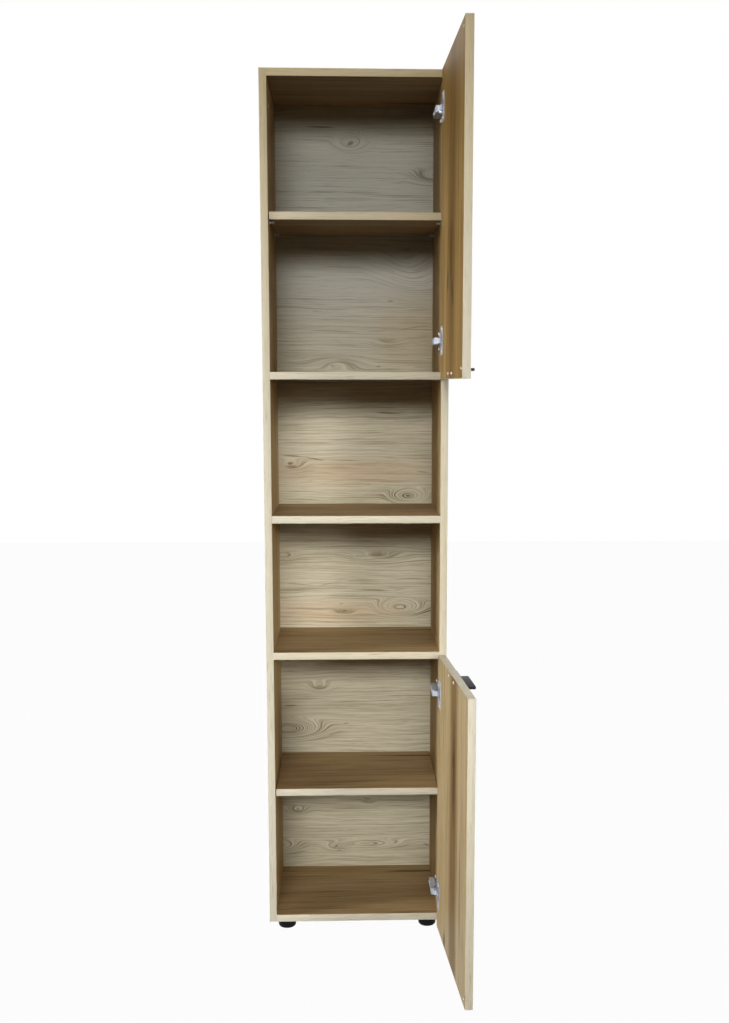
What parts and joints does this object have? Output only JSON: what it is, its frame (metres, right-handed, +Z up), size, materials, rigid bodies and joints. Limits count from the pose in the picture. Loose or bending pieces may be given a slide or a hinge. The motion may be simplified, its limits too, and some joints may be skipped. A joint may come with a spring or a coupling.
{
  "type": "tall bathroom cabinet",
  "caption": "Tall narrow cabinet with shelves, an open bay between an upper and a lower hinged door, standing on round feet.",
  "frame": {"origin": "on the floor, under the middle of the carcass footprint (sides and back panel, doors left out)", "axes": "+X to the right seen from the front, +Y from the front towards the back, +Z up; the doors stand open at rest"},
  "size_m": [0.442, 0.6968, 1.891],
  "materials": {
    "carcass_board": "light oak decor laminate",
    "door_board": "light oak decor laminate, grain upright",
    "back_print": "thin board printed with light oak, grain across",
    "edge_band": "pale oak edge band",
    "hinge_steel": "bright nickel plate",
    "screw_steel": "zinc plate",
    "pin_steel": "nickel plate",
    "black_handle": "satin black",
    "foot_plastic": "black moulded plastic",
    "bumper": "clear soft bumper",
    "plug": "pale cover plug"
  },
  "bodies": {
    "carcass": {"adjustable_shelf_edge_bands": "edge_band", "adjustable_shelf_lower": "carcass_board", "adjustable_shelf_upper": "carcass_board", "back_panel": "back_print", "back_panel_nails": "screw_steel", "bottom_panel": "carcass_board", "carcass_edge_bands": "edge_band", "fixed_shelf_lower": "carcass_board", "fixed_shelf_middle": "carcass_board", "fixed_shelf_upper": "carcass_board", "foot_front_left": "foot_plastic", "foot_front_right": "foot_plastic", "foot_rear_left": "foot_plastic", "foot_rear_right": "foot_plastic", "foot_screws": "screw_steel", "hinge_arm_pins": "hinge_steel", "hinge_arm_screws": "hinge_steel", "hinge_plate_screws": "hinge_steel", "joint_screws": "screw_steel", "left_side_panel": "carcass_board", "lower_bottom_hinge_arm": "hinge_steel", "lower_bottom_hinge_plate": "hinge_steel", "lower_shelf_pins": "pin_steel", "lower_top_hinge_arm": "hinge_steel", "lower_top_hinge_plate": "hinge_steel", "right_side_panel": "carcass_board", "side_cover_plug": "plug", "top_panel": "carcass_board", "upper_bottom_hinge_arm": "hinge_steel", "upper_bottom_hinge_plate": "hinge_steel", "upper_shelf_pins": "pin_steel", "upper_top_hinge_arm": "hinge_steel", "upper_top_hinge_plate": "hinge_steel"},
    "upper_door_body": {"upper_bottom_hinge_cup": "hinge_steel", "upper_cup_screws": "hinge_steel", "upper_door": "door_board", "upper_door_bumpers": "bumper", "upper_door_edge_bands": "edge_band", "upper_handle": "black_handle", "upper_handle_screws": "screw_steel", "upper_top_hinge_cup": "hinge_steel"},
    "lower_door_body": {"lower_bottom_hinge_cup": "hinge_steel", "lower_cup_screws": "hinge_steel", "lower_door": "door_board", "lower_door_bumpers": "bumper", "lower_door_edge_bands": "edge_band", "lower_handle": "black_handle", "lower_handle_screws": "screw_steel", "lower_top_hinge_cup": "hinge_steel"},
    "upper_links": {"upper_bottom_hinge_link": "hinge_steel", "upper_cup_pins": "hinge_steel", "upper_top_hinge_link": "hinge_steel"},
    "lower_links": {"lower_bottom_hinge_link": "hinge_steel", "lower_cup_pins": "hinge_steel", "lower_top_hinge_link": "hinge_steel"}
  },
  "joints": [
    {"name": "upper_door_hinge", "type": "hinge", "parent": "carcass", "child": "upper_door_body", "pos_m": [0.1909, -0.1595, 1.572], "axis": [0, 0, 1], "range_deg": [-91.6, 13.4]},
    {"name": "lower_door_hinge", "type": "hinge", "parent": "carcass", "child": "lower_door_body", "pos_m": [0.1909, -0.1595, 0.33], "axis": [0, 0, 1], "range_deg": [-94.1, 10.9]},
    {"name": "upper_link_turn", "type": "hinge", "parent": "carcass", "child": "upper_links", "pos_m": [0.17097, -0.15781, 1.572], "axis": [0, 0, 1], "range_deg": [-5.6, 37]},
    {"name": "lower_link_turn", "type": "hinge", "parent": "carcass", "child": "lower_links", "pos_m": [0.17097, -0.15781, 0.33], "axis": [0, 0, 1], "range_deg": [-4.6, 38]}
  ],
  "couplings": [
    {"joint": "upper_link_turn", "follows": "upper_door_hinge", "ratio": -0.4007},
    {"joint": "lower_link_turn", "follows": "lower_door_hinge", "ratio": -0.4007}
  ]
}
